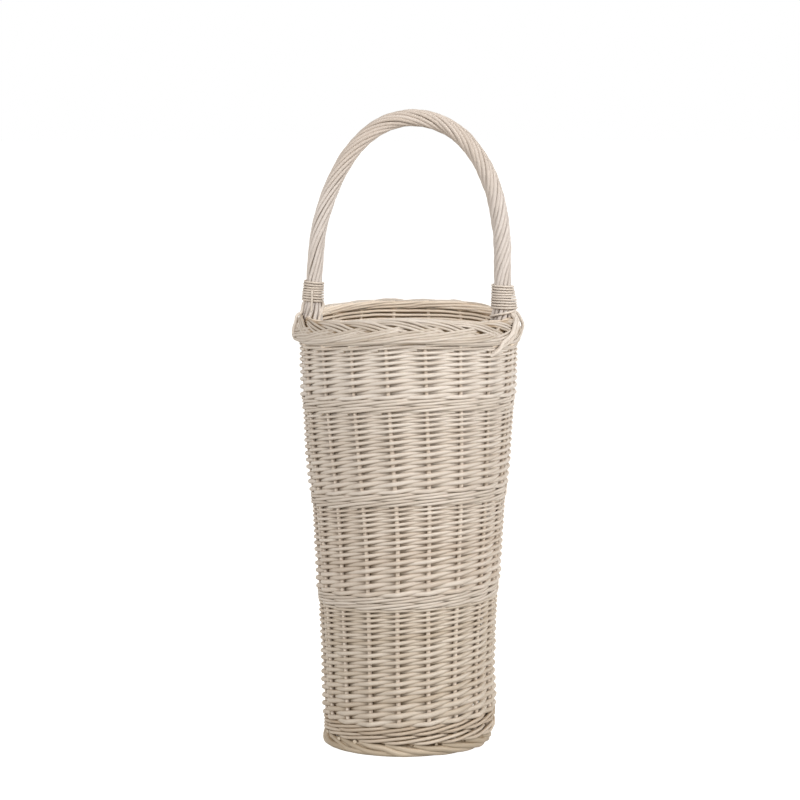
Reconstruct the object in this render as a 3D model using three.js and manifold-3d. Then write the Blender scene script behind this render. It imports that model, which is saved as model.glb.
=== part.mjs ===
// Umbrella stand woven of peeled willow, with a roped bow handle.
// Millimetres, +Z up. The origin is on the floor under the middle of the stand.
// The handle bow stands in the XZ plane.
import * as THREE from 'three';
import { mergeVertices } from 'three/addons/utils/BufferGeometryUtils.js';
import Module from 'manifold-3d';

const wasm = await Module();
wasm.setup();
const { PI, abs, cos, sin, sqrt, pow, min, max, hypot } = Math;
const turn = 2 * PI;

// Fits
const seatGap = 0.3;
const channelGap = 0.3;
const wedgeReach = 5;
const flatTolerance = 0.002;

// Stakes, the upright rods that everything is woven on
const stakeCount = 18;
const stakeDiameter = 3.8;
const stakeRingLow = 94.3;
const stakeRingHigh = 120.6;
const flareStart = 80;
const flareEnd = 470;
const twistLow = 2.9 * PI / 180;
const twistHigh = -1.8 * PI / 180;
const twistStart = 230;
const twistEnd = 490;

// Bands of weaving, from the floor up
const footHeight = 14.8;
const footOuterRadius = 95;
const footWidth = 13;
const footFlatWidth = 6;
const footRipple = 0.8;
const footShoulder = 4;
const footInnerStep = 2;
const upsettHeight = 20.6;
const upsettRod = 4.6;
const upsettFootStep = 2.2;
const upsettBelly = 0.6;
const upsettShoulder = 1.2;
const waleHeight = 14;
const waleRod = 3.6;
const waleBulge = 1;
const topWaleHeight = 5.2;
const topWaleRod = 3.4;
const topWaleBulge = 0.5;
const sidings = [
  { name: 'siding_bottom', rows: 35, butt: 5.1, tip: 2.6, courses: 2 },
  { name: 'siding_lower', rows: 28, butt: 4.9, tip: 2.3, courses: 1 },
  { name: 'siding_upper', rows: 26, butt: 4.6, tip: 2.5, courses: 1 },
  { name: 'siding_top', rows: 16, butt: 4.5, tip: 2.65, courses: 1 },
];
const crossingShare = 0.6;
const strokeShare = 0.75;

// Plaited border
const plaitStrands = 3;
const plaitStakesPerCycle = 3;
const strandWidth = 10;
const strandThickness = 3.1;
const plaitSwing = 9.1;
const plaitSeat = 0.6;
const plaitFlatness = 0.1;
const plaitLift = 3.5;
const plaitTilt = 20 * PI / 180;
const plaitOverhang = 1;

// Hand-made unevenness: the border and wales dip at the handle and climb to one side
const saddleDepth = 4;
const saddleStart = 130;
const saddleEnd = 310;
const climbRise = 4.4;
const climbStart = 12;
const climbFull = 36;
const climbFade = 330;
const climbEnd = 470;

// Base
const throughSticks = 5;
const splitSticks = 4;
const stickWidth = 6.4;
const stickHeight = 6.4;
const splitStickHeight = 9.4;
const splitWall = 1.4;
const splitEase = 1.5;
const baseCover = 2;
const stickPitch = 7.2;
const stickStraight = 24;
const stickEndInset = 1.1;
const baseWeaveRod = 2.8;
const baseWeaveInnerRadius = 26;
const stickTurnFromStake = 3.4 * PI / 180;

// Handle
const overallHeight = 730;
const handleHalfSpan = 107.6;
const archSpring = 545;
const archFullness = 2.1;
const archLean = 4.8;
const leanStart = 585;
const leanEnd = 690;
const bowCoreDiameter = 9.8;
const ropeRods = 11;
const ropeRodDiameter = 3.6;
const ropeTurns = 3.75;
const ropeClearance = 0.5;
const ropeTuck = 2.7;
const ropeBevel = 7;
const legFootHeight = 408;
const legFootDiameter = 6;
const legRimDiameter = 8.4;
const legRimInset = 13.6;
const legRimLift = 2;
const legWaistDrop = 14;
const legWaistInset = 8.8;
const legWaistPull = 0.9;
const legFootInset = 1.2;

// Bindings round the handle legs
const leftBinding = { turns: 8, rod: 2.4, gap: 0.55, top: 536, flare: 0.4 };
const rightBinding = { turns: 9, rod: 2.4, gap: 0.68, top: 531.3, flare: 2.1 };
const bindingClearance = 0.45;
const bindingEndHeading = 1.5 * PI;

// Handle tails that are led over the border and tucked in under it
const tailRod = 3.6;
const flatTailWidth = 5.4;
const flatTailThickness = 2.2;
const tailClearance = 0.45;
const pairGap = 0.35;
const tailDrop = 1.7;
const tailOffset = tailRod / 2 + tailClearance;
const innerTailStops = { over: 3, under: 12, bend: 4, above: 2, rest: 5, end: 12 };

const willow = { color: 0xdccdb8, roughness: 0.62, metalness: 0 };
const group = new THREE.Group();

function addPiece(name, geometry, tint = 1) {
  const material = new THREE.MeshStandardMaterial(willow);
  material.color.multiplyScalar(tint);
  const mesh = new THREE.Mesh(geometry, material);
  mesh.name = name;
  group.add(mesh);
}

function smoothStep(low, high, value) {
  const share = min(1, max(0, (value - low) / (high - low)));
  return share * share * (3 - 2 * share);
}

function mix(a, b, share) {
  return a + (b - a) * share;
}

// Radius of the ring of stakes: upright at the foot and the rim, flaring between
function stakeRadius(z) {
  const share = min(1, max(0, (z - flareStart) / (flareEnd - flareStart)));
  return mix(stakeRingLow, stakeRingHigh, (share + smoothStep(0, 1, share)) / 2);
}

// How far the wall has turned from its place at the handle, as weaving pulls the stakes along
function wallTwist(z) {
  return mix(twistLow, twistHigh, smoothStep(twistStart, twistEnd, z));
}

function polar(radius, angle, z) {
  return new THREE.Vector3(radius * cos(angle), radius * sin(angle), z);
}

// How far the weaving sits above or below its mean height, round the stand
function settle(point) {
  const angle = Math.atan2(point.y, point.x);
  const saddle = saddleDepth * smoothStep(saddleStart, saddleEnd, point.z);
  const climb = climbRise * smoothStep(climbStart, climbFull, point.z)
    * (1 - smoothStep(climbFade, climbEnd, point.z));
  point.z += climb * cos(angle) - saddle * cos(2 * angle);
  return point;
}

function settleGeometry(geometry) {
  const position = geometry.getAttribute('position');
  const point = new THREE.Vector3();
  for (let i = 0; i < position.count; i += 1) {
    settle(point.fromBufferAttribute(position, i));
    position.setXYZ(i, point.x, point.y, point.z);
  }
  return geometry;
}

function signedVolume(positions, indices) {
  const a = new THREE.Vector3();
  const b = new THREE.Vector3();
  const c = new THREE.Vector3();
  let sum = 0;
  for (let i = 0; i < indices.length; i += 3) {
    a.fromArray(positions, indices[i] * 3);
    b.fromArray(positions, indices[i + 1] * 3);
    c.fromArray(positions, indices[i + 2] * 3);
    sum += a.dot(b.cross(c));
  }
  return sum;
}

// Closed solid through a row of equal rings of points, capped or joined end to end
function loft(rings, closed = false) {
  const sides = rings[0].length;
  const positions = rings.flat().flatMap((point) => point.toArray());
  const indices = [];
  const spans = closed ? rings.length : rings.length - 1;
  for (let i = 0; i < spans; i += 1) {
    const here = i * sides;
    const next = ((i + 1) % rings.length) * sides;
    for (let j = 0; j < sides; j += 1) {
      const k = (j + 1) % sides;
      indices.push(here + j, here + k, next + k, here + j, next + k, next + j);
    }
  }
  if (!closed) {
    const last = (rings.length - 1) * sides;
    for (let j = 1; j < sides - 1; j += 1) {
      indices.push(0, j + 1, j, last, last + j, last + j + 1);
    }
  }
  if (signedVolume(positions, indices) < 0) indices.reverse();
  const geometry = new THREE.BufferGeometry();
  geometry.setAttribute('position', new THREE.Float32BufferAttribute(positions, 3));
  geometry.setIndex(indices);
  return geometry;
}

// Ring of points round a centre, square to the path, with half sizes along and across a side direction
function sectionRing(centre, tangent, side, halfSide, halfAcross, sides, start = 0) {
  const first = side.clone().addScaledVector(tangent, -side.dot(tangent)).normalize();
  const second = new THREE.Vector3().crossVectors(tangent, first);
  const ring = [];
  for (let j = 0; j < sides; j += 1) {
    const angle = start + turn * j / sides;
    ring.push(centre.clone()
      .addScaledVector(first, halfSide * cos(angle))
      .addScaledVector(second, halfAcross * sin(angle)));
  }
  return ring;
}

// Rod along a list of points, with a radius at each and a side direction that never lies along it
function rodAlong(points, radiusAt, sideAt, sides, flatness = 1) {
  const rings = points.map((point, i) => {
    const before = points[max(0, i - 1)];
    const after = points[min(points.length - 1, i + 1)];
    const tangent = after.clone().sub(before).normalize();
    const radius = radiusAt(i / (points.length - 1));
    return sectionRing(point, tangent, sideAt(point), radius, radius * flatness, sides);
  });
  return loft(rings);
}

function solidOf(geometry) {
  const bare = new THREE.BufferGeometry();
  bare.setAttribute('position', geometry.getAttribute('position'));
  bare.setIndex(geometry.index);
  const merged = mergeVertices(bare, 1e-4);
  return new wasm.Manifold(new wasm.Mesh({
    numProp: 3,
    vertProperties: new Float32Array(merged.getAttribute('position').array),
    triVerts: new Uint32Array(merged.index.array),
  }));
}

function geometryOf(solid) {
  const mesh = solid.getMesh();
  const geometry = new THREE.BufferGeometry();
  geometry.setAttribute('position', new THREE.Float32BufferAttribute(mesh.vertProperties, 3));
  geometry.setIndex(Array.from(mesh.triVerts));
  return geometry;
}

function cutBy(geometry, cutters) {
  const solid = cutters.reduce((rest, cutter) => rest.subtract(solidOf(cutter)), solidOf(geometry));
  return geometryOf(solid.asOriginal().simplify(flatTolerance));
}

// Heights of the stacked bands
const upsettBottom = footHeight + seatGap;
const levels = { siding: [], wale: [] };
let level = upsettBottom + upsettHeight + seatGap;
sidings.forEach((siding, i) => {
  const height = siding.rows * (siding.butt + siding.tip) / 2;
  levels.siding.push({ bottom: level, top: level + height });
  level += height + seatGap;
  const band = i < sidings.length - 1 ? waleHeight : topWaleHeight;
  levels.wale.push({ bottom: level, top: level + band });
  level += band + seatGap;
});
const borderBottom = level;
const stakeTop = borderBottom - seatGap;

// Stakes: one rod at each place round the wall, bent only between the bands
const stakeSides = 5;
const stakeKnots = [
  upsettBottom,
  (levels.siding[0].bottom + levels.siding[0].top) / 2,
  ...levels.siding.slice(0, -1).map((band) => band.top + seatGap / 2),
  stakeTop,
];

function stakeLine(index, overrun = 0) {
  const angle = turn * index / stakeCount;
  const heights = [...stakeKnots];
  heights[0] -= overrun;
  heights[heights.length - 1] += overrun;
  const points = heights.map((z) => polar(stakeRadius(z), angle + wallTwist(z), z));
  return { points, aside: new THREE.Vector3(-sin(angle), cos(angle), 0) };
}

function stakeSolid(index) {
  const { points, aside } = stakeLine(index);
  return rodAlong(points, () => stakeDiameter / 2, () => aside, stakeSides);
}

// Wedge of space that the weaving rods leave as they part before and behind a stake
const channelOverrun = 2;

function stakeChannel(index) {
  const clear = stakeDiameter / 2 + channelGap;
  const across = wedgeReach * clear / sqrt(wedgeReach ** 2 - clear ** 2);
  const { points, aside } = stakeLine(index, channelOverrun);
  return rodAlong(points, () => wedgeReach, () => aside, 4, across / wedgeReach);
}

const stakeIndices = Array.from({ length: stakeCount }, (_, i) => i);
const stakeChannels = stakeIndices.map(stakeChannel);

stakeIndices.forEach((i) => {
  addPiece(`stake_${String(i + 1).padStart(2, '0')}`, settleGeometry(stakeSolid(i)), 0.97);
});

// Woven ring round the stakes: a closed profile of [radius, height] points at each angle
function wovenRing(segments, profileAt, channels = stakeChannels, offset = 0) {
  const rings = [];
  for (let i = 0; i < segments; i += 1) {
    const angle = turn * (i + offset) / segments;
    rings.push(profileAt(angle).map(([radius, z]) => polar(radius, angle + wallTwist(z), z)));
  }
  return cutBy(loft(rings, true), channels);
}

// Half thickness of a wall whose rods lie flat before and behind a stake and cross between two
function wallHalf(rod, angle) {
  const atStake = stakeDiameter / 2 + rod;
  const between = rod * crossingShare;
  const share = min(1, (1 + cos(stakeCount * angle)) / 2 / strokeShare);
  return mix(between, atStake, share);
}

const ringSegments = 2 * stakeCount;
const sidingSegments = 3 * stakeCount;

function sidingRing(siding, band) {
  return wovenRing(sidingSegments, (angle) => {
    const outside = [];
    const inside = [];
    for (let i = 0; i <= siding.courses; i += 1) {
      const share = i / siding.courses;
      const z = mix(band.bottom, band.top, share);
      const half = wallHalf(mix(siding.butt, siding.tip, share), angle);
      outside.push([stakeRadius(z) + half, z]);
      inside.unshift([stakeRadius(z) - half, z]);
    }
    return [...outside, ...inside];
  }, stakeChannels, 0.5);
}

// Wale: rods that cover two stakes in front, so its face is nearly even, and lie rope-like
function waleRing(band, rod, bulge) {
  return wovenRing(ringSegments, () => {
    const middle = (band.bottom + band.top) / 2;
    const half = stakeDiameter / 2 + rod;
    return [
      [stakeRadius(band.bottom) + half, band.bottom],
      [stakeRadius(middle) + half + bulge, middle],
      [stakeRadius(band.top) + half, band.top],
      [stakeRadius(band.top) - half, band.top],
      [stakeRadius(band.bottom) - half, band.bottom],
    ];
  }, stakeChannels, 0.5);
}

// Handle path: two legs pushed into the wall and a full arch between them
const ropeReach = bowCoreDiameter / 2 + ropeClearance + ropeRodDiameter;
const archRise = overallHeight - ropeReach - archSpring;
const borderTop = borderBottom + plaitSeat + 2 * (plaitSwing + strandWidth / 2) * cos(plaitTilt);
const legRimOffset = stakeRadius(stakeTop) - legRimInset;
const ropeEndHeight = borderTop - ropeTuck;
const legFootOffset = stakeRadius(legFootHeight) - stakeDiameter / 2 - channelGap - seatGap
  - legFootDiameter / 2 - legFootInset;

function archPoint(angle) {
  const across = Math.sign(-cos(angle)) * pow(abs(cos(angle)), 2 / archFullness);
  const up = pow(abs(sin(angle)), 2 / archFullness);
  const z = archSpring + archRise * up;
  return new THREE.Vector3(handleHalfSpan * across + archLean * smoothStep(leanStart, leanEnd, z), 0, z);
}

function handleCurve() {
  const legHeights = [
    [legFootOffset, legFootHeight],
    [mix(legFootOffset, stakeRadius(borderBottom) - legWaistInset, legWaistPull), borderBottom - legWaistDrop],
    [legRimOffset, borderTop + legRimLift],
  ];
  const left = legHeights.map(([offset, z]) => new THREE.Vector3(-offset, 0, z));
  const right = legHeights.map(([offset, z]) => new THREE.Vector3(offset, 0, z)).reverse();
  const arch = [];
  const archPoints = 16;
  for (let i = 0; i <= archPoints; i += 1) {
    arch.push(archPoint(PI * i / archPoints));
  }
  return new THREE.CatmullRomCurve3([...left, ...arch, ...right], false, 'centripetal');
}

const bow = handleCurve();
const bowLength = bow.getLength();
bow.arcLengthDivisions = 800;
bow.updateArcLengths();

// Share of the bow's length at which a leg passes a height; side is -1 on the left, +1 on the right
function bowShareAt(z, side) {
  let low = side < 0 ? 0 : 0.5;
  let high = side < 0 ? 0.5 : 1;
  for (let i = 0; i < 40; i += 1) {
    const middle = (low + high) / 2;
    const below = bow.getPointAt(middle).z < z;
    if (below === (side < 0)) low = middle;
    else high = middle;
  }
  return (low + high) / 2;
}

const towardFront = new THREE.Vector3(0, -1, 0);

// Place round the bow: angle 0 is outward from the arch, a quarter turn on is the front
function roundBow(share, radius, angle) {
  const tangent = bow.getTangentAt(share);
  const outward = new THREE.Vector3().crossVectors(tangent, towardFront).negate();
  return bow.getPointAt(share)
    .addScaledVector(outward, radius * cos(angle))
    .addScaledVector(towardFront, radius * sin(angle));
}

function bowCore(extra, foot = 0) {
  const steps = 24;
  const points = [];
  const radii = [];
  const start = bowShareAt(legFootHeight, -1);
  const rimShare = bowShareAt(ropeEndHeight, -1);
  const shares = [0 - foot, rimShare * 0.45, rimShare * 0.8, rimShare * 1.05];
  const left = shares.map((share) => max(start, share));
  const middle = [];
  for (let i = 1; i < steps; i += 1) middle.push(mix(left[3], 1 - left[3], i / steps));
  const all = [...left, ...middle, ...[...left].reverse().map((share) => 1 - share)];
  all.forEach((share) => {
    const point = bow.getPointAt(share);
    const up = point.z;
    const thin = mix(legFootDiameter, legRimDiameter, smoothStep(legFootHeight, borderBottom, up));
    const full = smoothStep(ropeEndHeight - ropeBevel, ropeEndHeight + ropeBevel, up);
    points.push(point);
    radii.push(mix(thin, bowCoreDiameter, full) / 2 + extra);
  });
  const rings = points.map((point, i) => {
    const tangent = bow.getTangentAt(min(1, max(0, all[i])));
    return sectionRing(point, tangent, towardFront, radii[i], radii[i], 6);
  });
  return loft(rings);
}

// Woven parts of the wall
addPiece('upsett_wale', settleGeometry(wovenRing(ringSegments, () => {
  const low = stakeRadius(upsettBottom);
  const half = stakeDiameter / 2 + upsettRod;
  const top = upsettBottom + upsettHeight;
  return [
    [low + half - upsettFootStep, upsettBottom],
    [low + half - upsettBelly, mix(upsettBottom, top, 0.35)],
    [low + half - upsettShoulder, top],
    [low - half, top],
    [low - half, upsettBottom],
  ];
}, stakeChannels, 0.5)), 0.98);

const legChannel = bowCore(channelGap);
sidings.forEach((siding, i) => {
  const ring = settleGeometry(sidingRing(siding, levels.siding[i]));
  const last = i === sidings.length - 1;
  addPiece(siding.name, last ? cutBy(ring, [legChannel]) : ring);
});

const waleNames = ['wale_lower', 'wale_middle', 'wale_upper'];
waleNames.forEach((name, i) => {
  addPiece(name, settleGeometry(waleRing(levels.wale[i], waleRod, waleBulge)), 1.02);
});
const topWale = settleGeometry(waleRing(levels.wale[waleNames.length], topWaleRod, topWaleBulge));
addPiece('wale_top', cutBy(topWale, [legChannel]), 1.02);

// Foot border: rods that each sweep down to the floor and on under the next
function footBorder() {
  const segments = 3 * stakeCount;
  const inner = footOuterRadius - footWidth;
  const flatInner = inner + (footWidth - footFlatWidth) / 2;
  const wave = (angle, phase) => footRipple * cos(stakeCount * angle + phase);
  return wovenRing(segments, (angle) => [
    [flatInner + footFlatWidth, 0],
    [footOuterRadius - footRipple + wave(angle, 0), footHeight * 0.35],
    [footOuterRadius - 2 * footRipple + wave(angle, PI * 2 / 3), footHeight * 0.75],
    [footOuterRadius - footShoulder, footHeight],
    [inner + footInnerStep, footHeight],
    [inner, footHeight * 0.5],
    [flatInner, 0],
  ], []);
}
addPiece('foot_border', footBorder(), 0.98);

// Place in the border's leaning section: along runs up its width, out is away from the middle
const borderRadius = stakeRadius(stakeTop) + plaitOverhang;
const borderMiddle = borderBottom + plaitSeat + (plaitSwing + strandWidth / 2) * cos(plaitTilt);

function inBorder(heading, along, out) {
  return polar(
    borderRadius - along * sin(plaitTilt) + out * cos(plaitTilt),
    heading,
    borderMiddle + along * cos(plaitTilt) + out * sin(plaitTilt),
  );
}

// Plaited border: strands that swing from edge to edge and pass over and under each other
function plaitStrand(strand) {
  const segments = 3 * stakeCount;
  const cycles = stakeCount / plaitStakesPerCycle;
  const rings = [];
  for (let i = 0; i < segments; i += 1) {
    const angle = turn * i / segments;
    const phase = cycles * angle + turn * strand / plaitStrands;
    const swing = plaitSwing * (sin(phase) + plaitFlatness * sin(3 * phase)) / (1 - plaitFlatness);
    const lift = -plaitLift * sin(2 * phase);
    const ring = [];
    for (let j = 0; j < 6; j += 1) {
      const along = swing + strandWidth / 2 * cos(turn * j / 6);
      const out = lift + strandThickness / 2 * sin(turn * j / 6) / sin(turn / 6);
      ring.push(inBorder(angle, along, out));
    }
    rings.push(ring);
  }
  return settleGeometry(loft(rings, true));
}
for (let i = 0; i < plaitStrands; i += 1) {
  addPiece(`border_strand_${i + 1}`, plaitStrand(i), 1.03);
}

// Base: a cross of sticks, some threaded through splits in the others, opened out like spokes
const baseBottom = footHeight + seatGap;
const baseHeight = splitStickHeight + 2 * seatGap + baseCover;
const baseMiddle = baseBottom + baseHeight / 2;
const baseRadius = stakeRadius(upsettBottom) - stakeDiameter / 2 - upsettRod - seatGap;
const stickReach = baseRadius - stickEndInset;

function stickPath(index, count, heading) {
  const place = index - (count - 1) / 2;
  const endAngle = heading + place * turn / stakeCount;
  const along = new THREE.Vector3(cos(heading), sin(heading), 0);
  const aside = new THREE.Vector3(-sin(heading), cos(heading), 0);
  const straight = along.clone().multiplyScalar(stickStraight).addScaledVector(aside, place * stickPitch);
  const end = new THREE.Vector3(cos(endAngle), sin(endAngle), 0).multiplyScalar(stickReach);
  const back = along.clone().multiplyScalar(-stickStraight).addScaledVector(aside, place * stickPitch);
  const farAngle = heading - place * turn / stakeCount;
  const farEnd = new THREE.Vector3(cos(farAngle), sin(farAngle), 0).multiplyScalar(-stickReach);
  return [farEnd, back, straight, end].map((point) => point.setZ(baseMiddle));
}

function stickSolid(index, count, heading, halfHeight, extra) {
  const points = stickPath(index, count, heading);
  const up = new THREE.Vector3(0, 0, 1);
  const rings = points.map((point, i) => {
    const before = points[max(0, i - 1)];
    const after = points[min(points.length - 1, i + 1)];
    const tangent = after.clone().sub(before).normalize();
    const isEnd = i === 0 || i === points.length - 1;
    const half = isEnd ? stickHeight / 2 : halfHeight;
    return sectionRing(point, tangent, up, half + extra, stickWidth / 2 + extra, 6);
  });
  return loft(rings);
}

const slathTurn = wallTwist(baseMiddle) + stickTurnFromStake;
const splitHeading = PI / 2 + slathTurn;
const throughHalfHeight = (splitStickHeight - 2 * splitWall) / 2 - seatGap;

function splitSlot() {
  const length = (throughSticks - 1) * stickPitch + stickWidth + 2 * seatGap + splitEase;
  const slot = new THREE.BoxGeometry(length, stickPitch * splitSticks * 1.3, splitStickHeight - 2 * splitWall);
  slot.deleteAttribute('normal');
  slot.deleteAttribute('uv');
  slot.rotateZ(splitHeading);
  slot.translate(0, 0, baseMiddle);
  return slot;
}

const stickCutters = [];
for (let i = 0; i < throughSticks; i += 1) {
  const heading = slathTurn;
  addPiece(`base_stick_${i + 1}`, stickSolid(i, throughSticks, heading, throughHalfHeight, 0), 0.94);
  stickCutters.push(stickSolid(i, throughSticks, heading, throughHalfHeight, seatGap));
}
for (let i = 0; i < splitSticks; i += 1) {
  const whole = stickSolid(i, splitSticks, splitHeading, splitStickHeight / 2, 0);
  addPiece(`base_split_stick_${i + 1}`, cutBy(whole, [splitSlot()]), 0.94);
  stickCutters.push(stickSolid(i, splitSticks, splitHeading, splitStickHeight / 2, seatGap));
}

function baseWeave() {
  const top = baseBottom + baseHeight;
  return wovenRing(ringSegments, () => [
    [baseRadius, baseBottom],
    [baseRadius, top],
    [baseWeaveInnerRadius, top],
    [baseWeaveInnerRadius, baseBottom],
  ], stickCutters, 0.5);
}
addPiece('base_weave', baseWeave(), 0.92);

// Handle bow and the rods roped round it
addPiece('handle_bow', bowCore(0), 0.96);

function ropeRod(index) {
  const steps = 31;
  const start = bowShareAt(ropeEndHeight, -1);
  const end = bowShareAt(ropeEndHeight, 1);
  const ringRadius = ropeReach - ropeRodDiameter / 2;
  const ropeCorner = ropeRodDiameter / 2 * 1.15;
  const rings = [];
  for (let i = 0; i <= steps; i += 1) {
    const share = i / steps;
    const along = mix(start, end, share);
    const angleAt = (value) => turn * (index / ropeRods + ropeTurns * mix(value, value * value, 0.35));
    const nudge = 0.002;
    const centre = roundBow(along, ringRadius, angleAt(share));
    const before = roundBow(mix(start, end, max(0, share - nudge)), ringRadius, angleAt(share - nudge));
    const after = roundBow(mix(start, end, min(1, share + nudge)), ringRadius, angleAt(share + nudge));
    const tangent = after.sub(before).normalize();
    const side = centre.clone().sub(bow.getPointAt(along));
    rings.push(sectionRing(centre, tangent, side, ropeCorner, ropeCorner, 4, PI / 4));
  }
  return loft(rings);
}
for (let i = 0; i < ropeRods; i += 1) {
  addPiece(`rope_rod_${String(i + 1).padStart(2, '0')}`, ropeRod(i), i % 2 ? 1.02 : 0.98);
}

// Binding: one unbroken rod wound round a leg, its ends straight for one rod width
function bindingPoints(binding, side) {
  const pitch = binding.rod + binding.gap;
  const stepsPerTurn = 15;
  const steps = stepsPerTurn * binding.turns;
  const radius = ropeReach + bindingClearance + binding.rod / 2;
  const points = [];
  for (let i = 0; i <= steps; i += 1) {
    const share = i / steps;
    const z = binding.top - binding.rod / 2 - pitch * binding.turns * share;
    const angle = bindingEndHeading - side * turn * i / stepsPerTurn;
    points.push(roundBow(bowShareAt(z, side), radius + binding.flare * share * share, angle));
  }
  const first = points[0].clone().sub(points[1]).setLength(binding.rod).add(points[0]);
  const final = points[steps].clone().sub(points[steps - 1]).setLength(binding.rod).add(points[steps]);
  return [first, ...points, final];
}

function leastGap(points, skip, rod) {
  let least = Infinity;
  for (let i = 0; i < points.length; i += 1) {
    for (let j = i + skip; j < points.length; j += 1) {
      least = min(least, points[i].distanceTo(points[j]) - rod);
    }
  }
  return least;
}

function bindingSolid(name, binding, side) {
  const points = bindingPoints(binding, side);
  console.log(`${name}: ${binding.turns} loops, least gap to itself `
    + `${leastGap(points, 8, binding.rod).toFixed(2)} mm`);
  const up = new THREE.Vector3(0, 0, 1);
  return rodAlong(points, () => binding.rod / 2, () => up, 5);
}
addPiece('binding_left', bindingSolid('binding_left', leftBinding, -1), 1.03);
addPiece('binding_right', bindingSolid('binding_right', rightBinding, 1), 1.03);

// Height just under a binding, where the handle's tails come out
function tailHeight(binding) {
  return binding.top - binding.rod - (binding.rod + binding.gap) * binding.turns - tailDrop;
}

// Place on a path laid over the border: edge 0 is its top, a quarter turn its outer face
const wrapHalfWidth = plaitSwing + strandWidth / 2 + tailOffset;
const wrapHalfDepth = (plaitLift + strandThickness / 2) * 1.2 + tailOffset;

function overBorder(heading, edge, lift) {
  return settle(inBorder(heading, (wrapHalfWidth + lift) * cos(edge), (wrapHalfDepth + lift) * sin(edge)));
}

function besideLeg(side, z, angle) {
  return roundBow(bowShareAt(z, side), ropeReach + tailOffset, angle);
}

function tailSolid(points, halfWidth, halfThickness) {
  const curve = new THREE.CatmullRomCurve3(points, false, 'centripetal');
  const steps = 12;
  const sampled = curve.getPoints(steps);
  const aroundStand = (point) => new THREE.Vector3(-point.y, point.x, 0).normalize();
  return rodAlong(sampled, () => halfWidth, aroundStand, 6, halfThickness / halfWidth);
}

// Each stop is a heading round the stand, an edge angle on the border and a lift off it
const leftLoopStops = [
  [3.17, 0.5, 0.4],
  [3.18, 1.05, 1.4],
  [3.18, 1.6, 2],
  [3.18, 2.2, 0.8],
  [3.18, 2.65, -0.4],
];
const rightLoopStops = [
  [0.02, 0.73, 4.2],
  [0.03, 1.15, 2.8],
  [0.03, 1.6, 2],
  [0.03, 2.2, 0.4],
  [0.03, 2.65, -0.4],
];
const loopHeading = -0.14;
const pairHeading = 0.5;
const pairTurn = 1.25 / (ropeReach + tailOffset);
const pairStops = [[-0.105, 0.82], [-0.34, 1.415], [-0.45, 1.89], [-0.55, 2.38], [-0.66, 2.68]];
const laidOver = (stops) => stops.map(([heading, edge, lift]) => overBorder(heading, edge, lift));

function pairPath(aside) {
  const stops = pairStops.map(([heading, edge], i) => {
    const [beforeHeading, beforeEdge] = pairStops[max(0, i - 1)];
    const [afterHeading, afterEdge] = pairStops[min(pairStops.length - 1, i + 1)];
    const perRadian = hypot(wrapHalfWidth * sin(edge), wrapHalfDepth * cos(edge));
    const around = (afterHeading - beforeHeading) * borderRadius;
    const down = (afterEdge - beforeEdge) * perRadian;
    const length = hypot(around, down);
    return overBorder(
      heading + aside * down / length / borderRadius,
      edge - aside * around / length / perRadian,
      0,
    );
  });
  const start = besideLeg(1, tailHeight(rightBinding), pairHeading - aside * pairTurn);
  return [start, ...stops];
}

const tailHalf = tailRod / 2;
const leftLoopPath = [besideLeg(-1, tailHeight(leftBinding), -loopHeading), ...laidOver(leftLoopStops)];
addPiece('tail_left_loop', tailSolid(leftLoopPath, tailHalf, tailHalf));
const rightLoopPath = [besideLeg(1, tailHeight(rightBinding), loopHeading), ...laidOver(rightLoopStops)];
addPiece('tail_right_loop', tailSolid(rightLoopPath, tailHalf, tailHalf));
const pairHalf = (tailRod + pairGap) / 2;
addPiece('tail_right_over_1', tailSolid(pairPath(-pairHalf), tailHalf, tailHalf));
addPiece('tail_right_over_2', tailSolid(pairPath(pairHalf), tailHalf, tailHalf), 1.03);

// Flat tail that drops inside the left leg and is tucked against the inside of the wall
function innerTailPath() {
  const band = levels.wale[waleNames.length];
  const wallInside = stakeRadius(band.bottom) - stakeDiameter / 2 - topWaleRod;
  const rest = wallInside * cos(PI / ringSegments) - seatGap - flatTailThickness / 2;
  const heading = -PI + 0.09;
  const stops = innerTailStops;
  return [
    besideLeg(-1, tailHeight(leftBinding), 3),
    besideLeg(-1, borderTop + stops.over, 2.6),
    besideLeg(-1, borderTop - stops.under, 2.2),
    settle(polar(rest - stops.bend, heading, band.top + stops.above)),
    settle(polar(rest, heading, band.bottom - stops.rest)),
    settle(polar(rest, heading, band.bottom - stops.end)),
  ];
}
addPiece('tail_left_inner', tailSolid(innerTailPath(), flatTailWidth / 2, flatTailThickness / 2), 1.03);

export default group;
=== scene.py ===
import math

import bpy
import numpy as np
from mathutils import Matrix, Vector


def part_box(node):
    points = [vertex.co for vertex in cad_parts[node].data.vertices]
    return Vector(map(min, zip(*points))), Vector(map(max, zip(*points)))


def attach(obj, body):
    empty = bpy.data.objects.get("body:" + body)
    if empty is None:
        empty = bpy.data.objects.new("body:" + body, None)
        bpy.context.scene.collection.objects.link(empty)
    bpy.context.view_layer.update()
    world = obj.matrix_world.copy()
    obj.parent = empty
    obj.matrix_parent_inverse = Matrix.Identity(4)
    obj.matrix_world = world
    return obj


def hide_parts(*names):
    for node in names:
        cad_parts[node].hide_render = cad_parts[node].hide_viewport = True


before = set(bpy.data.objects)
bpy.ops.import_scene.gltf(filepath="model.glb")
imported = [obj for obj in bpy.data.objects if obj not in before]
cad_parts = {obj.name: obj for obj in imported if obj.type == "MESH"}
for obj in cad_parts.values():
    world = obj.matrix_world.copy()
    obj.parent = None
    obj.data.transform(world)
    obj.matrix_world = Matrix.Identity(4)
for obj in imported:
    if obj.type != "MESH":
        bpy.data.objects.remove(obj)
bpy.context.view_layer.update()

bpy.ops.object.select_all(action="DESELECT")

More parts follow.
